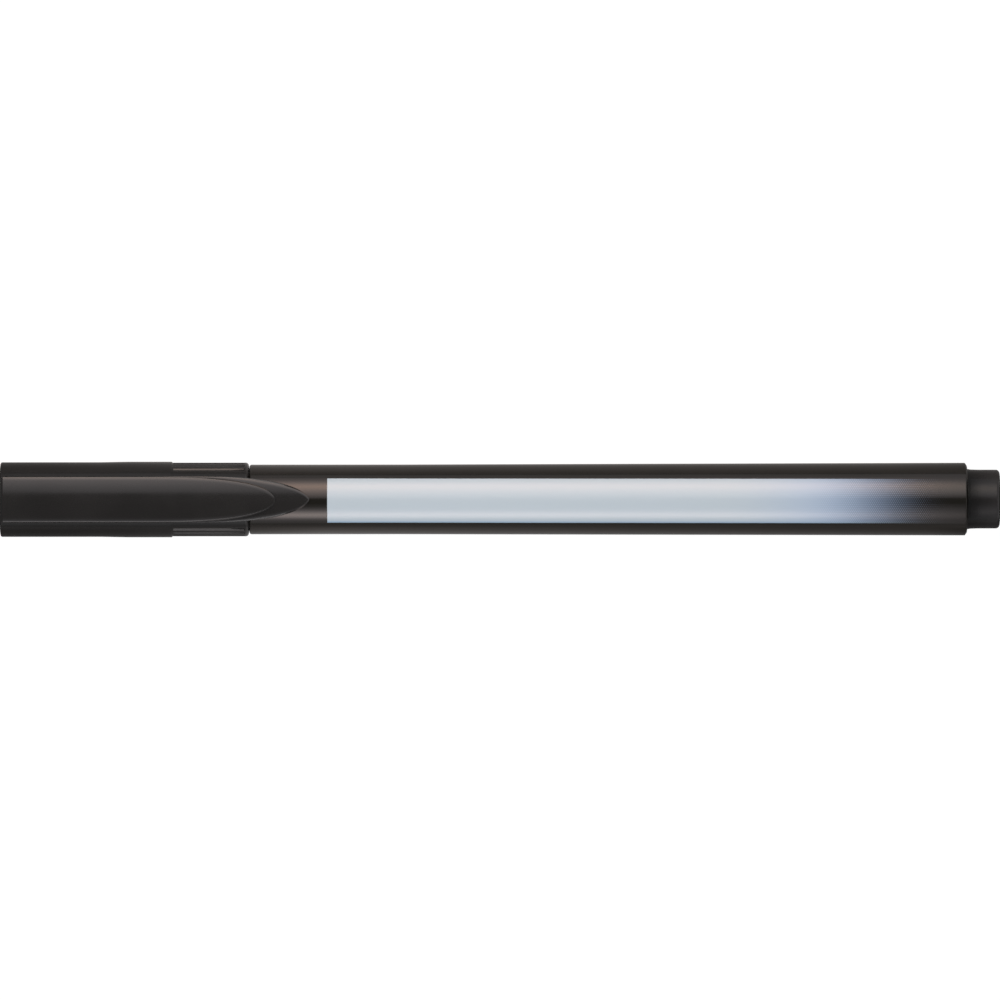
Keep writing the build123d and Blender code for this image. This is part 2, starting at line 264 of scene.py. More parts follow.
def dress(tree, shader, colour, gloss, normal):
    tree.links.new(colour, shader.inputs["Base Color"])
    tree.links.new(gloss, shader.inputs["Roughness"])
    tree.links.new(normal, shader.inputs["Normal"])


def colourNow(shader):
    return shader.inputs["Base Color"].links[0].from_socket


def mouldedPlastic(name, look):
    # cloudy colour, uneven gloss and the fine grain of the mould
    finish = newFinish(name)
    tree, shader = nodesOf(finish)
    where = millimetres(tree)
    cloud = grain(tree, where, look["cloudScale"], detail=2.0)
    colour = blendColour(tree, smoothRange(tree, cloud, *midTones), look["dark"], look["pale"])
    smear = grain(tree, millimetres(tree, smearStretch), look["smearScale"], detail=4.0, rough=0.6)
    gloss = smoothRange(tree, smear, *wideTones, *look["roughness"])
    tooth = grain(tree, where, look["grainScale"], detail=2.0, rough=0.6)
    dress(tree, shader, colour, gloss, bumpOf(tree, tooth, look["grainDepth"], look["grainStrength"]))
    shader.inputs["IOR"].default_value = look["ior"]
    shader.inputs["Specular Tint"].default_value = (*look["shine"], 1)
    return finish


# camera: straight above, at a long lens's distance, a hair turned as in the photograph

view = {
    "away": 1200.0, "across": 140.0, "roll": -0.03, "lift": 0.095,
    "sensor": 36.0, "nearest": 100.0, "farthest": 20000.0,
}
cameraData = bpy.data.cameras.new("camera")
cameraData.sensor_width = view["sensor"]
cameraData.lens = view["sensor"] * view["away"] / view["across"]
cameraData.clip_start = view["nearest"] * mm
cameraData.clip_end = view["farthest"] * mm
camera = bpy.data.objects.new("camera", cameraData)
camera.location = (0, -view["lift"] * mm, axisZ + view["away"] * mm)
camera.rotation_euler = (0, 0, radians(view["roll"]))
scene.collection.objects.link(camera)
scene.camera = camera
print("camera", round(cameraData.lens), "mm lens")


# soft boxes either side of the camera: brightness by the angle from straight up, warm where they are
# brightest, turning dimmer, wider and whiter to the right

softBoxes = {
    "upperBox": {
        "levels": ((3.4, 0.65), (7.5, 1.0), (16, 1.95), (23, 2.7), (30, 3.6), (37, 4.7), (43, 5.3),
                   (50, 4.3), (58, 2.4), (66, 1.3), (75, 0.7), (76, 0.36), (86, 0.4)),
        "farLevels": ((4.5, 0.36), (9, 0.7), (15, 1.2), (22, 1.6), (28, 1.8), (35, 1.92), (41, 1.88),
                      (48, 1.7), (55, 1.4), (63, 1.02), (70, 0.78), (78, 0.58), (86, 0.45)),
        "away": 250, "left": -96, "right": 96, "turnFrom": 62, "turnTo": 77,
        "tints": ((0.97, 0.95, 1.0), (1.0, 0.79, 0.68)),
        "farTints": ((0.98, 0.97, 1.1), (1.0, 0.99, 0.97)),
    },
    "lowerBox": {
        "levels": ((-84, 0.25), (-75, 0.5), (-67, 1.35), (-60, 3.5), (-52, 4.9), (-45, 3.3), (-38, 1.7),
                   (-31, 0.8), (-23, 0.22), (-15, 0.1)),
        "farLevels": ((-84, 0.42), (-72, 0.62), (-64, 0.78), (-57, 0.94), (-50, 1.0), (-43, 0.95),
                      (-36, 0.82), (-29, 0.64), (-23, 0.4), (-15, 0.22)),
        "away": 250, "left": -96, "right": 80, "turnFrom": 40, "turnTo": 76,
        "tints": ((0.94, 0.93, 1.0), (1.0, 0.92, 0.90)),
        "farTints": ((0.98, 0.97, 1.1), (1.0, 0.98, 1.04)),
    },
}


def lampGlow(tree, where, levels, tints, top, mid, spread):
    # each level stands where its angle meets the lamp's face
    best = max(level for _, level in levels)
    stops = []
    for angle, level in levels:
        tint = Vector(tints[0]).lerp(Vector(tints[1]), level / best)
        stops.append((0.5 + tan(radians(angle) - mid) / (2 * tan(spread)), tint * level / top))
    return rampOf(tree, where, stops)


for name, box in softBoxes.items():
    angles = [angle for angle, _ in box["levels"]]
    top = max(level for _, level in box["levels"])
    mid = radians((angles[0] + angles[-1]) / 2)
    spread = radians((angles[-1] - angles[0]) / 2)
    wide = box["right"] - box["left"]
    away = box["away"] * mm
    lampData = bpy.data.lights.new(name, "AREA")
    lampData.shape = "RECTANGLE"
    lampData.size = wide * mm
    lampData.size_y = 2 * away * tan(spread)
    lampData.energy = top * pi * lampData.size * lampData.size_y
    lampData.use_nodes = True
    tree = lampData.node_tree
    surface = tree.nodes.new("ShaderNodeNewGeometry")
    split = tree.nodes.new("ShaderNodeSeparateXYZ")
    tree.links.new(surface.outputs["Parametric"], split.inputs[0])
    near = lampGlow(tree, split.outputs["Y"], box["levels"], box["tints"], top, mid, spread)
    far = lampGlow(tree, split.outputs["Y"], box["farLevels"], box["farTints"], top, mid, spread)
    turnFrom, turnTo = ((box[key] - box["left"]) / wide for key in ("turnFrom", "turnTo"))
    turn = smoothRange(tree, split.outputs["X"], turnFrom, turnTo)
    tree.links.new(blendColour(tree, turn, near, far), tree.nodes["Emission"].inputs["Color"])
    lamp = bpy.data.objects.new(name, lampData)
    lamp.location = ((box["left"] + box["right"]) / 2 * mm, away * sin(mid), axisZ + away * cos(mid))
    lamp.rotation_euler = (-mid, 0, 0)
    lamp.visible_camera = False
    scene.collection.objects.link(lamp)
print("lamps", len(softBoxes))


# room: white behind everything, dim overhead, brighter near the horizon and, in reflections, to the right

room = {
    "horizon": 0.42, "overhead": 0.2, "edge": 0.45,
    "right": 1.3, "rightFrom": (0.28, 0.42), "rightTo": (0.6, 0.85),
}
world = bpy.data.worlds.new("room")
world.use_nodes = True
scene.world = world
tree = world.node_tree
sky = tree.nodes["Background"]
toward = splitCoords(tree, "Generated")
glow = smoothRange(tree, toward["Z"], 0.0, room["edge"], room["horizon"], room["overhead"])
ray = tree.nodes.new("ShaderNodeLightPath").outputs
rightGlow = smoothRange(tree, toward["X"], *room["rightFrom"], 0.0, room["right"])
rightGlow = calc(tree, "MULTIPLY", rightGlow, smoothRange(tree, toward["X"], *room["rightTo"], 1.0, 0.0))
glow = calc(tree, "MULTIPLY_ADD", rightGlow, ray["Is Glossy Ray"], glow)
tree.links.new(calc(tree, "MAXIMUM", glow, ray["Is Camera Ray"]), sky.inputs["Strength"])
sky.inputs["Color"].default_value = (1, 1, 1, 1)


# floor: white to the camera, darker to the pen's gloss, with painted light and shade near the pen that only
# the gloss sees, and a faint shadow under the pen

stage = {
    "size": 8000.0, "under": 0.02, "colour": 0.45, "white": 0.8, "whiteGlow": 1.22, "mirrored": 0.2,
    # painted light and shade on the paper, seen only in the pen's gloss, by the place along the pen, on the
    # picture's upper side of it and its lower one
    "shadeUpper": ((-95, 0.4), (-75, 0.46), (-60, 0.57), (-50, 0.72), (-44, 0.9), (-30, 1.05), (-14, 0.95),
                   (0, 0.88), (25, 0.82), (55, 0.78), (68, 0.55), (80, 0.5)),
    "shadeLower": ((-95, 0.2), (-75, 0.25), (-62, 0.29), (-55, 0.34), (-47, 0.46), (-36, 0.85), (-25, 1.28),
                   (-14, 1.1), (0, 1.0), (14, 0.85), (28, 0.75), (45, 0.65), (60, 0.55), (68, 0.25),
                   (80, 0.2)),
    "shadeSpan": 200.0, "sideSoft": 4.0, "shadeReach": (14.0, 60.0), "far": 0.32,
}


def greyOf(level):
    return (level, level, level)


floorFinish = newFinish("paleFloor")
tree, shader = nodesOf(floorFinish)
tree.nodes.remove(shader)
matte = tree.nodes.new("ShaderNodeBsdfDiffuse")
place = splitCoords(tree)
alongFloor = calc(tree, "MULTIPLY_ADD", place["X"], 1 / (stage["shadeSpan"] * mm), 0.5)
shades = []
for key in ("shadeLower", "shadeUpper"):
    stops = [(0.5 + x / stage["shadeSpan"], greyOf(level * stage["colour"])) for x, level in stage[key]]
    shades.append(rampOf(tree, alongFloor, stops))
upperSide = smoothRange(tree, place["Y"], -stage["sideSoft"] * mm, stage["sideSoft"] * mm)
shadeFrom, shadeTo = stage["shadeReach"]
away = smoothRange(tree, calc(tree, "ABSOLUTE", place["Y"]), shadeFrom * mm, shadeTo * mm)
# painted light and shade near the pen, turning to a plain level further away
shade = blendColour(tree, away, blendColour(tree, upperSide, *shades), greyOf(stage["far"]))
ray = tree.nodes.new("ShaderNodeLightPath").outputs
floorColour = blendColour(tree, ray["Is Camera Ray"], shade, greyOf(stage["colour"]))
tree.links.new(floorColour, matte.inputs["Color"])
white = tree.nodes.new("ShaderNodeEmission")
white.inputs["Strength"].default_value = stage["whiteGlow"]
seen = calc(tree, "MAXIMUM", ray["Is Camera Ray"], ray["Is Transmission Ray"])
mirrored = calc(tree, "MULTIPLY", shade, stage["mirrored"] / stage["colour"])
seen = calc(tree, "MAXIMUM", seen, calc(tree, "MULTIPLY", ray["Is Glossy Ray"], mirrored))
mixer = tree.nodes.new("ShaderNodeMixShader")
tree.links.new(calc(tree, "MULTIPLY", seen, stage["white"]), mixer.inputs[0])
tree.links.new(matte.outputs[0], mixer.inputs[1])
tree.links.new(white.outputs[0], mixer.inputs[2])
tree.links.new(mixer.outputs[0], tree.nodes["Material Output"].inputs["Surface"])
bm = bmesh.new()
reach = stage["size"] / 2 * mm
corners = ((-1, -1), (1, -1), (1, 1), (-1, 1))
bm.faces.new([bm.verts.new((x * reach, y * reach, -stage["under"] * mm)) for x, y in corners])
floorMesh = bpy.data.meshes.new("floor")
bm.to_mesh(floorMesh)
bm.free()
floorMesh.materials.append(floorFinish)
floor = bpy.data.objects.new("floor", floorMesh)
scene.collection.objects.link(floor)
print("room and floor")


# barrel: long gloss tube with a pale printed panel that fades out in dots

barrel = {
    "front": 34.95, "rear": 135.3, "bore": 3.95, "frontRadius": 4.875, "rearRadius": 5.08,
    "straight": 21.0, "frontEdge": 0.30, "rearSlope": 0.25, "rearStep": 4.72, "rearRing": 4.23,
    "rearEdge": 0.13, "stepEdge": 0.12,
    "ribFront": 48.55, "ribRear": 122.3, "ribCrest": 3.46, "ribHalf": 5.7, "ribPitch": 90.0, "ribRamp": 0.01,
    # plastic
    "cloudScale": 0.12, "dark": (0.0046, 0.0044, 0.0026), "pale": (0.0062, 0.0058, 0.0040),
    "smearScale": 0.5, "roughness": (0.12, 0.16), "grainScale": 3.0, "grainDepth": 0.0012,
    "grainStrength": 0.25, "ior": 1.5, "shine": (1.0, 0.92, 0.89),
    # print: stations, edges in degrees from the top, drift along the pen and the radius it is printed at
    "printFrom": 45.9, "fadeFrom": 106.1, "fadeTo": 138.2,
    "printUpper": 36.9, "printLower": -41.6, "printDrift": 0.0033, "printSoft": 0.04, "printRadius": 4.95,
    "print": (0.539, 0.657, 0.735), "printBlue": (0.34, 0.51, 0.68), "blueWide": 0.5,
    "printThin": (0.37, 0.52, 0.76), "thinFrom": 100.0, "thinTo": 128.0,
    "dotPitch": 0.252, "dotTurns": (30, -30, 90), "dotDepth": 0.12, "dotSoft": 0.3,
}
barrelGloss = mouldedPlastic("barrelGloss", barrel)
tree, shader = nodesOf(barrelGloss)
place = splitCoords(tree)
along = alongPen(tree, place)
angle = calc(tree, "ARCTAN2", place["Y"], calc(tree, "SUBTRACT", place["Z"], axisZ))
girth = calc(tree, "MULTIPLY", angle, barrel["printRadius"])   # millimetres round the barrel
onward = calc(tree, "SUBTRACT", along, barrel["printFrom"])
drifted = calc(tree, "MULTIPLY_ADD", onward, barrel["printDrift"], girth)
upperEdge = radians(barrel["printUpper"]) * barrel["printRadius"]
lowerEdge = radians(barrel["printLower"]) * barrel["printRadius"]
soft = barrel["printSoft"]
edges = [
    smoothRange(tree, along, barrel["printFrom"] - soft, barrel["printFrom"] + soft),
    smoothRange(tree, drifted, upperEdge - soft, upperEdge + soft, 1.0, 0.0),
    smoothRange(tree, girth, lowerEdge - soft, lowerEdge + soft),
]
# dots: three crossed waves, cut off higher and higher as the ink runs out
waves = []
for turn in barrel["dotTurns"]:
    across = calc(tree, "MULTIPLY", along, cos(radians(turn)))
    across = calc(tree, "MULTIPLY_ADD", girth, sin(radians(turn)), across)
    waves.append(calc(tree, "COSINE", calc(tree, "MULTIPLY", across, 2 * pi / barrel["dotPitch"])))
waveLow, waveHigh = -1.5, 3.0                                # how far the three reach together
ripple = barrel["dotDepth"] / (waveHigh - waveLow)
waveSum = calc(tree, "ADD", calc(tree, "ADD", waves[0], waves[1]), waves[2])
dots = calc(tree, "MULTIPLY", waveSum, ripple)
cutLow = ripple * waveLow - barrel["dotSoft"]
cutHigh = ripple * waveHigh + barrel["dotSoft"]
gone = smoothRange(tree, along, barrel["fadeFrom"], barrel["fadeTo"], cutLow, cutHigh)
inked = smoothRange(tree, calc(tree, "SUBTRACT", dots, gone), -barrel["dotSoft"], barrel["dotSoft"])
for edge in edges:
    inked = calc(tree, "MULTIPLY", inked, edge)
thinning = smoothRange(tree, along, barrel["thinFrom"], barrel["thinTo"])
blueing = smoothRange(tree, girth, lowerEdge, lowerEdge + barrel["blueWide"], 1.0, 0.0)
inkColour = blendColour(tree, thinning, barrel["print"], barrel["printThin"])
inkColour = blendColour(tree, blueing, inkColour, barrel["printBlue"])
tree.links.new(blendColour(tree, inked, colourNow(shader), inkColour), shader.inputs["Base Color"])


def ribbed(station, radius, a):
    onBore = abs(radius - barrel["bore"]) < almost
    if onBore and barrel["ribFront"] <= station <= barrel["ribRear"]:
        if abs(degrees(a) % barrel["ribPitch"] - barrel["ribPitch"] / 2) < barrel["ribHalf"]:
            return barrel["ribCrest"]
    return radius


outline = easeCorners([
    (barrel["front"], barrel["bore"]),
    (barrel["front"], barrel["frontRadius"], barrel["frontEdge"]),
    (barrel["front"] + barrel["straight"], barrel["frontRadius"]),
    (barrel["rear"] - barrel["rearSlope"], barrel["rearRadius"], barrel["rearEdge"]),
    (barrel["rear"], barrel["rearStep"], barrel["stepEdge"]),
    (barrel["rear"], barrel["rearRing"]),
    (barrel["rear"], barrel["bore"]),
    (barrel["ribRear"] + barrel["ribRamp"], barrel["bore"]),
    (barrel["ribRear"], barrel["bore"]),
    (barrel["ribFront"], barrel["bore"]),
    (barrel["ribFront"] - barrel["ribRamp"], barrel["bore"]),
])
toPiece(turned(outline, shape=ribbed), "barrelTube", "barrel", "barrel", barrelGloss)


# tail plug: closes the barrel, with a fine seam beside it and a soft end

plug = {
    "front": 126.3, "rear": barrel["rear"], "end": 140.0, "fit": 3.93, "fitEdge": 0.12, "radius": 4.11,
    "hollow": 2.98, "hollowEdge": 0.3, "wall": 1.4,
    "seamAt": 135.68, "seamWide": 0.012, "seamDeep": 0.03, "seamEdge": 0.03,
    "fillet": 0.042, "filletLength": 1.6, "filletSteps": 8,
    "edge": 0.5, "dome": 0.12, "domeRadius": 3.4, "domeRings": (2.8, 2.1, 1.4, 0.7),
    # plastic, with painted shade next to the barrel's end
    "cloudScale": 0.2, "dark": (0.0195, 0.019, 0.0192), "pale": (0.0235, 0.023, 0.0232),
    "smearScale": 0.8, "roughness": (0.19, 0.24), "grainScale": 9.0, "grainDepth": 0.003,
    "grainStrength": 0.35, "ior": 1.37, "shine": (1.0, 1.0, 1.0),
    "shaded": (0.003, 0.003, 0.003), "paintedShadeFrom": 134.6, "paintedShadeTo": 140.2,
}
plugSatin = mouldedPlastic("plugSatin", plug)
tree, shader = nodesOf(plugSatin)
along = alongPen(tree, splitCoords(tree))
paintedShade = smoothRange(tree, along, plug["paintedShadeFrom"], plug["paintedShadeTo"])   # painted shade: darker next to the barrel's end, fading out towards the plug's end
tree.links.new(blendColour(tree, paintedShade, plug["shaded"], colourNow(shader)), shader.inputs["Base Color"])
rootRadius = plug["radius"] + plug["fillet"]
filletRows = []
for t in (0, *shares(plug["filletSteps"])):
    station = plug["seamAt"] + plug["seamWide"] + plug["filletLength"] * t
    filletRows.append((station, plug["radius"] + plug["fillet"] * (1 - t) ** 2))
domeRows = [(plug["end"] - plug["dome"] * (r / plug["domeRadius"]) ** 2, r) for r in plug["domeRings"]]
outline = easeCorners([
    (plug["end"] - plug["wall"], 0),
    (plug["end"] - plug["wall"], plug["hollow"], plug["hollowEdge"]),
    (plug["front"], plug["hollow"]),
    (plug["front"], plug["fit"], plug["fitEdge"]),
    (plug["rear"], plug["fit"]),
    (plug["rear"], rootRadius + 2 * plug["seamDeep"], plug["seamEdge"]),
    (plug["seamAt"], rootRadius + plug["seamDeep"]),
    *filletRows,
    (plug["end"] - plug["dome"], plug["radius"], plug["edge"]),
    *domeRows,
    (plug["end"], 0),
], closed=False)
toPiece(turned(outline, closed=False), "tailPlug", "barrel", "tail_plug", plugSatin)


# clip shape, shared by the foot on the cap and by the springy clip

clip = {
    "half": 3.25, "root": 7.0, "bottom": 6.285, "tongueTop": 7.235, "landTop": 7.735,
    "crownDrop": 0.235, "crownPower": 2.4, "bendFrom": 27.07, "bendRound": 133.65,
    "straightStations": (9.0, 11.0, 13.0, 15.0, 16.5), "straightDraft": 0.05, "bottomEdge": 0.12,
    # edges: width, fall and, on the land, the width of the lip at the end
    "landEdge": (0.50, 0.045, 0.09), "noseEdge": (0.40, 0.018, 0.015),
    "tongueEdge": (0.42, 0.040), "tipEdge": (0.27, 0.018), "noEdge": (0.0, 0.0),
    "landNose": 18.0, "landLength": 20.64, "landPower": 3.15, "landDraft": 0.14,
    "draftShare": 0.3, "edgeShare": 0.4,                     # of the ledge beside the land
    "sideDraft": 0.20, "noseFrom": 28.0, "nosePull": 12.0,
    "tip": 43.547, "tipAngle": 66.0, "tipPull": 1.34, "tipRound": 0.495, "tipFade": 3.5, "tipDraft": 0.10,
    # mesh steps
    "bottomSteps": 5, "wallSteps": 3, "edgeSteps": 10, "ledgeSteps": 8, "landEdgeSteps": 16, "landSteps": 12,
    "footSteps": 24, "noseSteps": 60, "tipSteps": 26, "roundSteps": 8,
    # plastic
    "cloudScale": 0.15, "dark": (0.0120, 0.0116, 0.0114), "pale": (0.0150, 0.0145, 0.0143),
    "smearScale": 0.6, "roughness": (0.10, 0.14), "grainScale": 8.0, "grainDepth": 0.0012,
    "grainStrength": 0.25, "ior": 1.5, "shine": (1.0, 1.0, 1.0),
}
clipGloss = mouldedPlastic("clipGloss", clip)
landHalfWide = clip["half"] - 2 * clip["straightDraft"]


def crownSag(across):
    return clip["crownDrop"] * (abs(across) / clip["half"]) ** clip["crownPower"]


def bent(station, height):
    run = max(0.0, station - clip["bendFrom"])
    return sqrt((clip["bendRound"] + height) ** 2 - run ** 2) - clip["bendRound"]


def edgeFall(edge, out):
    # a soft fall over the whole edge and a small round lip at its outer end, where out is 1
    wide, deep, lip = edge
    near = max(0.0, 1 - (1 - out) * wide / lip)
    return deep * out ** 2 + lip / 2 * (1 - sqrt(1 - near ** 2))


def footTop():
    # from the middle of the foot's top, over its rounded edge, to the top of its side
    wide = clip["landEdge"][0]
    flat = landHalfWide - wide
    points = []
    for i in range(clip["footSteps"]):
        y = flat * i / clip["footSteps"]
        points.append((y, clip["landTop"] - crownSag(y)))
    for t in (0, *shares(clip["landEdgeSteps"])):
        over = sin(pi / 2 * t)
        y = flat + wide * over
        points.append((y, clip["landTop"] - crownSag(y) - edgeFall(clip["landEdge"], over)))
    return points


# cap shell: domed crown, swelling body, fluted band, rounded mouth and the clip's foot

cap = {
    "length": 34.85, "crownRise": 0.14, "crownRadius": 5.22, "crownEdge": 0.22,
    "crownRings": (0, 0.6, 1.4, 2.2, 3.0, 3.8), "rimRing": (0.098, 4.4),
    "footFrom": 0.5, "footEdge": 0.28, "footGuard": 0.05, "footStations": (2.5, 5.0), "footSteps": 6,
    "bodyStation": 10.0, "swellFrom": 13.5, "swellTo": 18.5, "swellSteps": 12, "belly": 5.285,
    "bellyStation": 21.0, "bandFrom": 24.1, "band": 5.165, "bandStations": (27.0, 31.0), "stepEdge": 0.05,
    "flutes": 22, "fluteStart": 54.0, "fluteDepth": 0.20, "fluteHalf": 4.3,
    "fluteFrom": 24.22, "fluteEnd": 34.39, "fluteFade": 0.18, "fadeSteps": 5,
    "lip": 0.45, "mouthBore": 4.15, "leadIn": 0.25, "leadEdge": 0.08, "mouthEdge": 0.15,
    "boreStep": 24.85, "boreSlope": 0.1, "deepBore": 4.05, "floor": 1.3, "floorEdge": 0.2,
    "around": 480, "creaseStep": 51,                         # ring steps, and those from top to foot side
    # plastic, and the height above which the foot is as glossy as the clip
    "cloudScale": 0.15, "dark": (0.0085, 0.0082, 0.0078), "pale": (0.0110, 0.0106, 0.0102),
    "smearScale": 0.6, "roughness": (0.16, 0.21), "grainScale": 8.0, "grainDepth": 0.002,
    "grainStrength": 0.25, "ior": 1.4, "shine": (1.0, 1.0, 1.0), "glossAbove": 5.335,
}
capSatin = mouldedPlastic("capSatin", cap)


def capAngles(crease):
    steps = cap["creaseStep"]
    rest = cap["around"] // 2 - steps
    right = [crease * i / steps for i in range(steps)]
    right += [crease + (pi - crease) * i / rest for i in range(rest)]
    return right + [pi] + [2 * pi - a for a in reversed(right[1:])]


def plainRow(station, radius, crease):
    return [spot(station, radius * sin(a), radius * cos(a)) for a in capAngles(crease)]


def footRow(station, radius, inset):
    # the round cap with the clip's foot standing on it
    half = clip["half"] - inset
    base = sqrt(radius ** 2 - half ** 2)
    right = [(y * half / clip["half"], z - inset) for y, z in footTop()]
    sideY, sideZ = right[-1]
    sideSteps = cap["creaseStep"] - len(right) + 1
    leanSteps = sideSteps // 2
    for t in shares(leanSteps):
        right.append((sideY + (half - sideY) * t, sideZ + (clip["bottom"] - sideZ) * t))
    for t in shares(sideSteps - leanSteps)[:-1]:
        right.append((half, clip["bottom"] + (base - clip["bottom"]) * t))
    row = plainRow(station, radius, asin(half / radius))
    for i, (y, z) in enumerate(right):
        row[i] = spot(station, y, z)
        if i:
            row[-i] = spot(station, -y, z)
    return row


def fluteRow(station, depth):
    # flutes all round the band except under the clip
    row = []
    pitch = (360 - 2 * cap["fluteStart"]) / (cap["flutes"] - 1)
    for i in range(cap["around"]):
        a = 2 * pi * i / cap["around"]
        past = degrees(min(a, 2 * pi - a)) - cap["fluteStart"] + pitch / 2
        off = past % pitch - pitch / 2
        r = cap["band"]
        if past > 0 and abs(off) < cap["fluteHalf"]:
            r -= depth * (0.5 + 0.5 * cos(pi * off / cap["fluteHalf"]))
        row.append(spot(station, r * sin(a), r * cos(a)))
    return row


evenCrease = 2 * pi * cap["creaseStep"] / cap["around"]
frontCrease = asin((clip["half"] - cap["footEdge"]) / cap["crownRadius"])
sideCrease = asin(clip["half"] / cap["crownRadius"])
rows = []
for radius in cap["crownRings"]:
    rows.append(plainRow(cap["crownRise"] * (radius / cap["crownRadius"]) ** 2, radius, frontCrease))
rows += [plainRow(s, r, frontCrease) for s, r in easeCorners([
    cap["rimRing"],
    (cap["crownRise"], cap["crownRadius"], cap["crownEdge"]),
    (cap["footFrom"], cap["crownRadius"]),
], closed=False)]
for t in (0, *shares(cap["footSteps"])):
    station = cap["footFrom"] + cap["footEdge"] * (1 - cos(pi / 2 * t))
    rows.append(footRow(station, cap["crownRadius"], cap["footEdge"] * (1 - sin(pi / 2 * t))))
footGuard = cap["footFrom"] + cap["footEdge"] + cap["footGuard"]
for station in (footGuard, *cap["footStations"], clip["root"]):
    rows.append(footRow(station, cap["crownRadius"], 0))
for station in (clip["root"], cap["bodyStation"], cap["swellFrom"]):
    rows.append(plainRow(station, cap["crownRadius"], sideCrease))
for t in shares(cap["swellSteps"]):
    station = cap["swellFrom"] + t * (cap["swellTo"] - cap["swellFrom"])
    radius = cap["crownRadius"] + eased(t) * (cap["belly"] - cap["crownRadius"])
    rows.append(plainRow(station, radius, sideCrease))
rows += [plainRow(s, r, evenCrease) for s, r in easeCorners([
    (cap["bellyStation"], cap["belly"]),
    (cap["bandFrom"], cap["belly"], cap["stepEdge"]),
    (cap["bandFrom"], cap["band"]),
], closed=False, steps=4, guard=0.03)]
fading = [0, *shares(cap["fadeSteps"])]
fadeIn = [(cap["fluteFrom"] + cap["fluteFade"] * t, t) for t in fading]
fadeOut = [(cap["fluteEnd"] - cap["fluteFade"] * t, t) for t in reversed(fading)]
for station, t in fadeIn + [(s, 1) for s in cap["bandStations"]] + fadeOut:
    rows.append(fluteRow(station, cap["fluteDepth"] * eased(t)))
rows += [plainRow(s, r, evenCrease) for s, r in easeCorners([
    (cap["fluteEnd"], cap["band"]),
    (cap["length"], cap["band"], cap["lip"]),
    (cap["length"], cap["mouthBore"] + cap["leadIn"], cap["leadEdge"]),
    (cap["length"] - cap["leadIn"], cap["mouthBore"], cap["mouthEdge"]),
    (cap["boreStep"], cap["mouthBore"]),
    (cap["boreStep"] - cap["boreSlope"], cap["deepBore"]),
    (cap["floor"], cap["deepBore"], cap["floorEdge"]),
    (cap["floor"], 0),
], closed=False)[1:]]
bm = bmesh.new()
skinRows(bm, rows)
shell = toPiece(bm, "capShell", "cap", "cap_shell", capSatin)
shell.data.materials.append(clipGloss)
for face in shell.data.polygons:
    if face.center.z > axisZ + cap["glossAbove"] * mm:
        face.material_index = 1


# clip: springy tongue drawn to a point, with the raised land on its back

tipAngle = radians(clip["tipAngle"])
noseCurve = [
    Vector((clip["noseFrom"], clip["half"])),
    Vector((clip["noseFrom"] + clip["nosePull"], clip["half"])),
    Vector((clip["tip"] - clip["tipPull"] * cos(tipAngle), clip["tipPull"] * sin(tipAngle))),
    Vector((clip["tip"], 0)),
]


def noseAt(t):
    # a point of the tongue's outline and the way out from it
    p0, p1, p2, p3 = noseCurve
    u = 1 - t
    point = p0 * u ** 3 + p1 * 3 * u * u * t + p2 * 3 * u * t * t + p3 * t ** 3
    way = (p1 - p0) * 3 * u * u + (p2 - p1) * 6 * u * t + (p3 - p2) * 3 * t * t
    return point, Vector((-way.y, way.x)).normalized()


def tongueSide(station, halvings=40):
    if station <= clip["noseFrom"]:
        return Vector((station, clip["half"])), Vector((0, 1))
    low, high = 0.0, 1.0
    for _ in range(halvings):
        t = (low + high) / 2
        if noseAt(t)[0].x < station:
            low = t
        else:
            high = t
    return noseAt(low)


def clipSpot(flat, height):
    return spot(flat.x, flat.y, bent(flat.x, height))


def tongueRow(side, out, inner, edge, draft):
    # half a row: bottom middle, bottom edge, leaning side, top edge, ledge in to the land or the middle
    row = []
    wide, deep = edge
    under = clip["bottomEdge"]
    base = side - out * under
    bottomShares = [0, *shares(clip["bottomSteps"])]
    for t in bottomShares[:-1]:
        row.append(clipSpot(Vector((base.x, base.y * t)), clip["bottom"]))
    for t in bottomShares:
        a = pi / 2 * t
        row.append(clipSpot(side - out * under * (1 - sin(a)), clip["bottom"] + under * (1 - cos(a))))
    top = side - out * draft
    wallLow, wallTop = clip["bottom"] + under, clip["tongueTop"] - crownSag(top.y) - deep
    for t in shares(clip["wallSteps"]):
        row.append(clipSpot(side.lerp(top, t), wallLow + (wallTop - wallLow) * t))
    for t in shares(clip["edgeSteps"]):
        flat = top - out * wide * t
        row.append(clipSpot(flat, clip["tongueTop"] - crownSag(flat.y) - deep * (1 - t) ** 2))
    shelf = top - out * wide
    stop = inner if inner is not None else Vector((shelf.x, 0))
    for t in shares(clip["ledgeSteps"]):
        flat = shelf.lerp(stop, t)
        row.append(clipSpot(flat, clip["tongueTop"] - crownSag(flat.y)))
    return row


def landRow(side, out, edge, draft):
    # half a row of the land: up its leaning wall, over its edge and across to the middle
    wide = edge[0]
    shelf = side - out * wide
    base = side + out * draft
    foot = clip["tongueTop"] - crownSag(base.y)
    row = [clipSpot(base, foot)]
    wallTop = clip["landTop"] - crownSag(side.y) - edgeFall(edge, 1)
    for t in shares(clip["wallSteps"]):
        row.append(clipSpot(base.lerp(side, t), foot + (wallTop - foot) * t))
    for t in shares(clip["landEdgeSteps"]):
        over = cos(pi / 2 * t)
        flat = side - out * wide * (1 - over)
        row.append(clipSpot(flat, clip["landTop"] - crownSag(flat.y) - edgeFall(edge, over)))
    for t in shares(clip["landSteps"]):
        flat = Vector((shelf.x, shelf.y * (1 - t)))
        row.append(clipSpot(flat, clip["landTop"] - crownSag(flat.y)))
    return row


straight = clip["straightDraft"]
tongueRows, landRows = [], []
for station in (clip["root"], *clip["straightStations"]):
    side, out = tongueSide(station)
    tongueRows.append(tongueRow(side, out, side - out * straight, clip["noEdge"], straight))
    landRows.append(landRow(side - out * straight * 2, out, clip["landEdge"], straight))
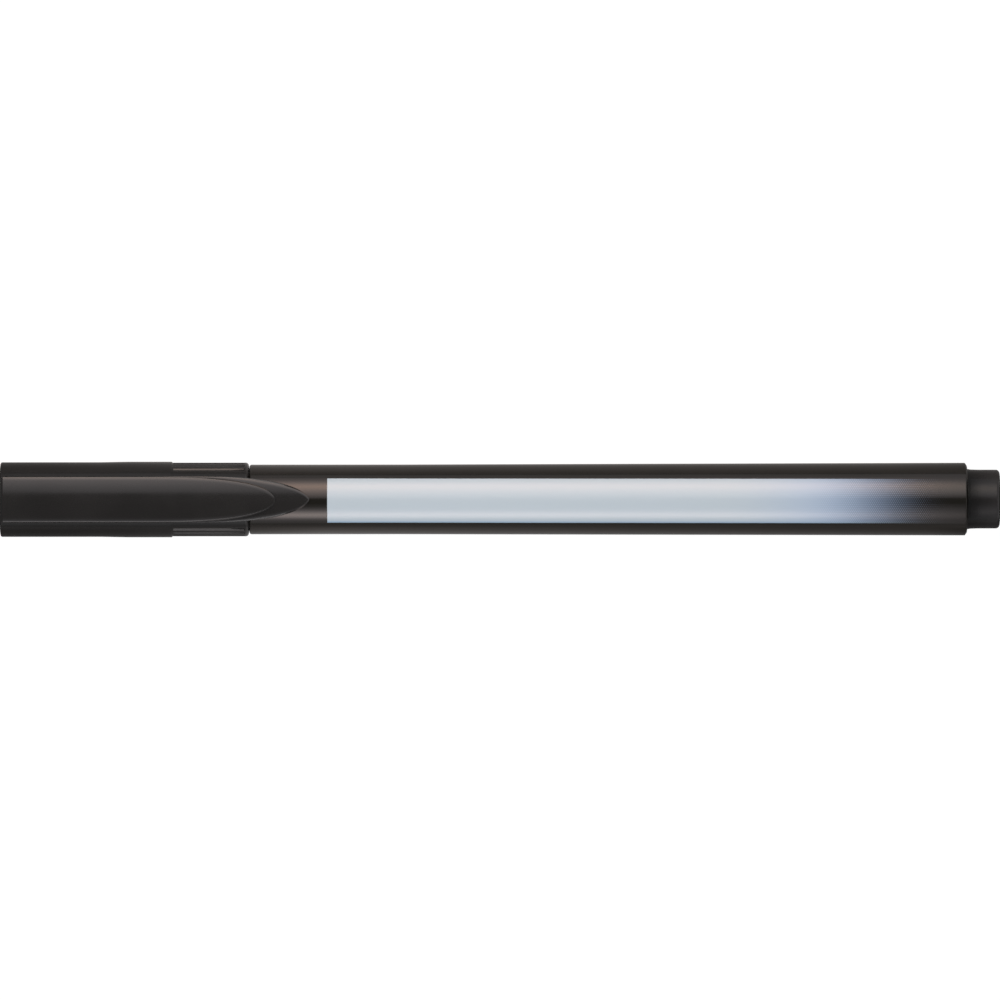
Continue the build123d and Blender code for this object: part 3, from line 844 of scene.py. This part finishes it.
# beside the land's nose the ledge grows from nothing, and its edge and lean with it
power = clip["landPower"]
for t in (0, *shares(clip["noseSteps"])):
    a = pi / 2 * t
    reach = sin(a) ** (2 / power)                            # blunter than an ellipse
    land = Vector((clip["landNose"] + clip["landLength"] * reach, landHalfWide * cos(a)))
    landOut = Vector((power * reach ** (power - 1) / clip["landLength"], 2 * cos(a) / landHalfWide))
    landOut.normalize()
    side, out = tongueSide(land.x)
    ledge = max(0.0, side.y - land.y - 2 * straight)
    draft = min(clip["landDraft"], straight + clip["draftShare"] * ledge)
    share = min(1.0, clip["edgeShare"] * ledge / clip["tongueEdge"][0])
    edge = mixed(clip["noEdge"], clip["tongueEdge"], share)
    lean = straight + (clip["sideDraft"] - straight) * share
    tongueRows.append(tongueRow(side, out, land + landOut * draft, edge, lean))
    landRows.append(landRow(land, landOut, mixed(clip["landEdge"], clip["noseEdge"], sin(a)), draft))
# past the land the tongue closes on its tip, which is round
landEnd = clip["landNose"] + clip["landLength"] + clip["landDraft"]
tipTurn = pi / 2 - tipAngle
tipCentre = Vector((clip["tip"] - clip["tipRound"] / sin(tipAngle), 0))
tipStart = tipCentre.x + clip["tipRound"] * cos(tipTurn)
for t in shares(clip["tipSteps"])[:-1]:
    side, out = tongueSide(landEnd + (tipStart - landEnd) * sin(pi / 2 * t))
    share = min(1.0, (clip["tip"] - side.x) / clip["tipFade"])
    lean = clip["tipDraft"] + (clip["sideDraft"] - clip["tipDraft"]) * share
    tongueRows.append(tongueRow(side, out, None, mixed(clip["tipEdge"], clip["tongueEdge"], share), lean))
for t in (0, *shares(clip["roundSteps"])):
    a = tipTurn * (1 - t)
    out = Vector((cos(a), sin(a)))
    side = tipCentre + out * clip["tipRound"]
    tongueRows.append(tongueRow(side, out, None, clip["tipEdge"], clip["tipDraft"]))
bm = bmesh.new()
skinRows(bm, tongueRows, wrap=False)
skinRows(bm, landRows, wrap=False)
bmesh.ops.mirror(bm, geom=bm.verts[:] + bm.edges[:] + bm.faces[:], axis="Y", merge_dist=weld)
toPiece(bm, "pocketClip", "clip", "clip", clipGloss)


# section: black nose piece that carries the nib and guides the cap

section = {
    "front": 8.9, "hole": 0.87, "rim": 1.35, "rimEdge": 0.12,
    "noseFrom": 12.5, "nose": 2.75, "noseTo": 17.3, "gripFrom": 18.7, "grip": 3.58, "softEdge": 0.5,
    "seatFrom": 27.55, "seat": 4.08, "seatInner": 0.15, "seatEdge": 0.12,
    "beads": (29.85, 33.45), "beadHalf": 0.4, "bead": 4.12, "beadRound": 1.2,
    "shoulder": 35.05, "ventRamp": 0.02, "spigot": 3.93, "end": 44.55, "endEdge": 0.3,
    "wickHole": 1.07, "wickFrom": 16.9, "nibHole": 0.52, "sleeveEnd": 16.1,
    "ventHalf": 5.8, "ventDepth": 0.4, "ventAbove": 3.0, "ventPitch": 180.0,
    # plastic
    "cloudScale": 0.2, "dark": (0.0110, 0.0108, 0.0112), "pale": (0.0145, 0.0142, 0.0148),
    "smearScale": 0.8, "roughness": (0.34, 0.42), "grainScale": 8.0, "grainDepth": 0.004,
    "grainStrength": 0.3, "ior": 1.5, "shine": (1.0, 0.97, 0.95),
}
sectionSatin = mouldedPlastic("sectionSatin", section)


def vented(station, radius, a):
    if station > section["shoulder"] and radius > section["ventAbove"]:
        halfPitch = section["ventPitch"] / 2
        if abs((degrees(a) + halfPitch) % section["ventPitch"] - halfPitch) < section["ventHalf"]:
            return radius - section["ventDepth"]
    return radius


beadCorners = []
for station in section["beads"]:
    beadCorners.append((station - section["beadHalf"], section["seat"]))
    beadCorners.append((station, section["bead"], section["beadRound"]))
    beadCorners.append((station + section["beadHalf"], section["seat"]))
outline = easeCorners([
    (section["front"], section["hole"]),
    (section["front"], section["rim"], section["rimEdge"]),
    (section["noseFrom"], section["nose"], section["softEdge"]),
    (section["noseTo"], section["nose"], section["softEdge"]),
    (section["gripFrom"], section["grip"], section["softEdge"]),
    (section["seatFrom"], section["grip"], section["seatInner"]),
    (section["seatFrom"], section["seat"], section["seatEdge"]),
    *beadCorners,
    (section["shoulder"], section["seat"]),
    (section["shoulder"], section["spigot"]),
    (section["shoulder"] + section["ventRamp"], section["spigot"]),
    (section["end"], section["spigot"], section["endEdge"]),
    (section["end"], section["wickHole"]),
    (section["wickFrom"], section["wickHole"]),
    (section["wickFrom"], section["nibHole"]),
    (section["sleeveEnd"], section["nibHole"]),
    (section["sleeveEnd"], section["hole"]),
])
toPiece(turned(outline, shape=vented), "noseSection", "barrel", "section", sectionSatin)


# nib sleeve: thin drawn steel tube with turning marks

sleeve = {
    "front": 6.0, "mouth": 0.23, "mouthEdge": 0.03, "rim": 0.42, "rimEdge": 0.08, "taper": 1.0,
    "radius": 0.85, "taperEdge": 0.6, "end": section["sleeveEnd"], "bore": 0.52, "step": 0.5, "around": 96,
    # steel
    "dark": (0.46, 0.46, 0.45), "pale": (0.62, 0.61, 0.60), "roughness": (0.16, 0.34),
    "lineScale": 14.0, "lineStretch": (1, 0.04, 0.04), "lineDepth": 0.002, "lineStrength": 0.3,
}
sleeveSteel = newFinish("sleeveSteel")
tree, shader = nodesOf(sleeveSteel)
lines = grain(tree, millimetres(tree, sleeve["lineStretch"]), sleeve["lineScale"], rough=0.6)
colour = blendColour(tree, smoothRange(tree, lines, *midTones), sleeve["dark"], sleeve["pale"])
gloss = smoothRange(tree, lines, *wideTones, *sleeve["roughness"])
dress(tree, shader, colour, gloss, bumpOf(tree, lines, sleeve["lineDepth"], sleeve["lineStrength"]))
shader.inputs["Metallic"].default_value = 1.0
outline = easeCorners([
    (sleeve["front"], sleeve["mouth"], sleeve["mouthEdge"]),
    (sleeve["front"], sleeve["rim"], sleeve["rimEdge"]),
    (sleeve["front"] + sleeve["taper"], sleeve["radius"], sleeve["taperEdge"]),
    (sleeve["end"], sleeve["radius"]),
    (sleeve["end"], sleeve["bore"]),
    (sleeve["front"] + sleeve["taper"], sleeve["bore"]),
    (sleeve["front"] + sleeve["step"], sleeve["mouth"]),
])
tube = turned(outline, around=sleeve["around"])
toPiece(tube, "nibSleeve", "barrel", "nib_sleeve", sleeveSteel)


# nib: ink-stained plastic point with a blunt rounded end

nib = {
    "tip": 4.8, "radius": 0.20, "round": 0.13, "neck": 6.5, "shankFrom": 7.0, "shank": 0.49, "end": 19.5,
    "guard": 0.02, "around": 64,
    # plastic
    "stained": (0.012, 0.012, 0.014), "clean": (0.62, 0.60, 0.55), "stain": (6.2, 7.6),
    "soakScale": 5.0, "soakStretch": (0.3, 1, 1), "soakDepth": 0.004, "soakStrength": 0.4,
    "roughness": (0.24, 0.45),
}
nibPlastic = newFinish("nibPlastic")
tree, shader = nodesOf(nibPlastic)
along = alongPen(tree, splitCoords(tree))
soak = grain(tree, millimetres(tree, nib["soakStretch"]), nib["soakScale"])
stain = smoothRange(tree, calc(tree, "ADD", along, soak), *nib["stain"])
colour = blendColour(tree, stain, nib["stained"], nib["clean"])
gloss = smoothRange(tree, soak, *midTones, *nib["roughness"])
dress(tree, shader, colour, gloss, bumpOf(tree, soak, nib["soakDepth"], nib["soakStrength"]))
outline = easeCorners([
    (nib["tip"], 0),
    (nib["tip"], nib["radius"], nib["round"]),
    (nib["neck"], nib["radius"]),
    (nib["shankFrom"], nib["shank"]),
    (nib["end"], nib["shank"]),
    (nib["end"], 0),
], closed=False, guard=nib["guard"])
point = turned(outline, around=nib["around"], closed=False)
toPiece(point, "nibPoint", "barrel", "nib_point", nibPlastic)


# pieces whose solids are right as they are: only their finish is made here

innerCap = {
    "cloudScale": 0.3, "dark": (0.60, 0.61, 0.60), "pale": (0.70, 0.71, 0.70), "smearScale": 0.8,
    "roughness": (0.36, 0.46), "grainScale": 7.0, "grainDepth": 0.004, "grainStrength": 0.3, "ior": 1.49,
    "shine": (1.0, 1.0, 1.0), "milk": 0.25, "milkDepth": 0.8,
}
milkyPlastic = mouldedPlastic("milkyPlastic", innerCap)
tree, shader = nodesOf(milkyPlastic)
shader.inputs["Subsurface Weight"].default_value = innerCap["milk"]
shader.inputs["Subsurface Radius"].default_value = greyOf(innerCap["milkDepth"] * mm)
shader.inputs["Subsurface Scale"].default_value = 1.0

fibre = {
    "strandStretch": (0.06, 1, 1), "strandShare": 0.6, "patchScale": 0.4, "patchStretch": (0.3, 1, 1),
    "patchShare": 0.4, "roughness": (0.7, 0.95), "strandDepth": 0.03, "strandStrength": 0.6,
}
wick = {"strandScale": 8.0, "dark": (0.010, 0.010, 0.012), "pale": (0.035, 0.034, 0.038)}
core = {"strandScale": 6.0, "dark": (0.012, 0.012, 0.015), "pale": (0.060, 0.058, 0.064)}


def soakedFibre(name, look):
    # bundled fibres along the pen, darker where the ink sits
    finish = newFinish(name)
    tree, shader = nodesOf(finish)
    strandPlace = millimetres(tree, fibre["strandStretch"])
    strands = grain(tree, strandPlace, look["strandScale"], detail=4.0, rough=0.6)
    patches = grain(tree, millimetres(tree, fibre["patchStretch"]), fibre["patchScale"], detail=2.0)
    tone = calc(tree, "MULTIPLY", patches, fibre["patchShare"])
    tone = calc(tree, "MULTIPLY_ADD", strands, fibre["strandShare"], tone)
    colour = blendColour(tree, smoothRange(tree, tone, *midTones), look["dark"], look["pale"])
    gloss = smoothRange(tree, strands, *midTones, *fibre["roughness"])
    dress(tree, shader, colour, gloss, bumpOf(tree, strands, fibre["strandDepth"], fibre["strandStrength"]))
    return finish


film = {
    "cloudScale": 0.2, "dark": (0.70, 0.72, 0.73), "pale": (0.80, 0.82, 0.83), "smearScale": 0.5,
    "roughness": (0.18, 0.28), "grainScale": 1.2, "grainDepth": 0.01, "grainStrength": 0.3, "ior": 1.52,
    "shine": (1.0, 1.0, 1.0), "clear": 0.7,
}
clearFilm = mouldedPlastic("clearFilm", film)
tree, shader = nodesOf(clearFilm)
shader.inputs["Transmission Weight"].default_value = film["clear"]
keptSolids = {
    "inner_cap": milkyPlastic,
    "wick": soakedFibre("wickFibre", wick),
    "reservoir": soakedFibre("coreFibre", core),
    "reservoir_film": clearFilm,
}
for node, finish in keptSolids.items():
    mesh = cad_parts[node].data
    mesh.materials.clear()
    mesh.materials.append(finish)
print("kept solids finished")
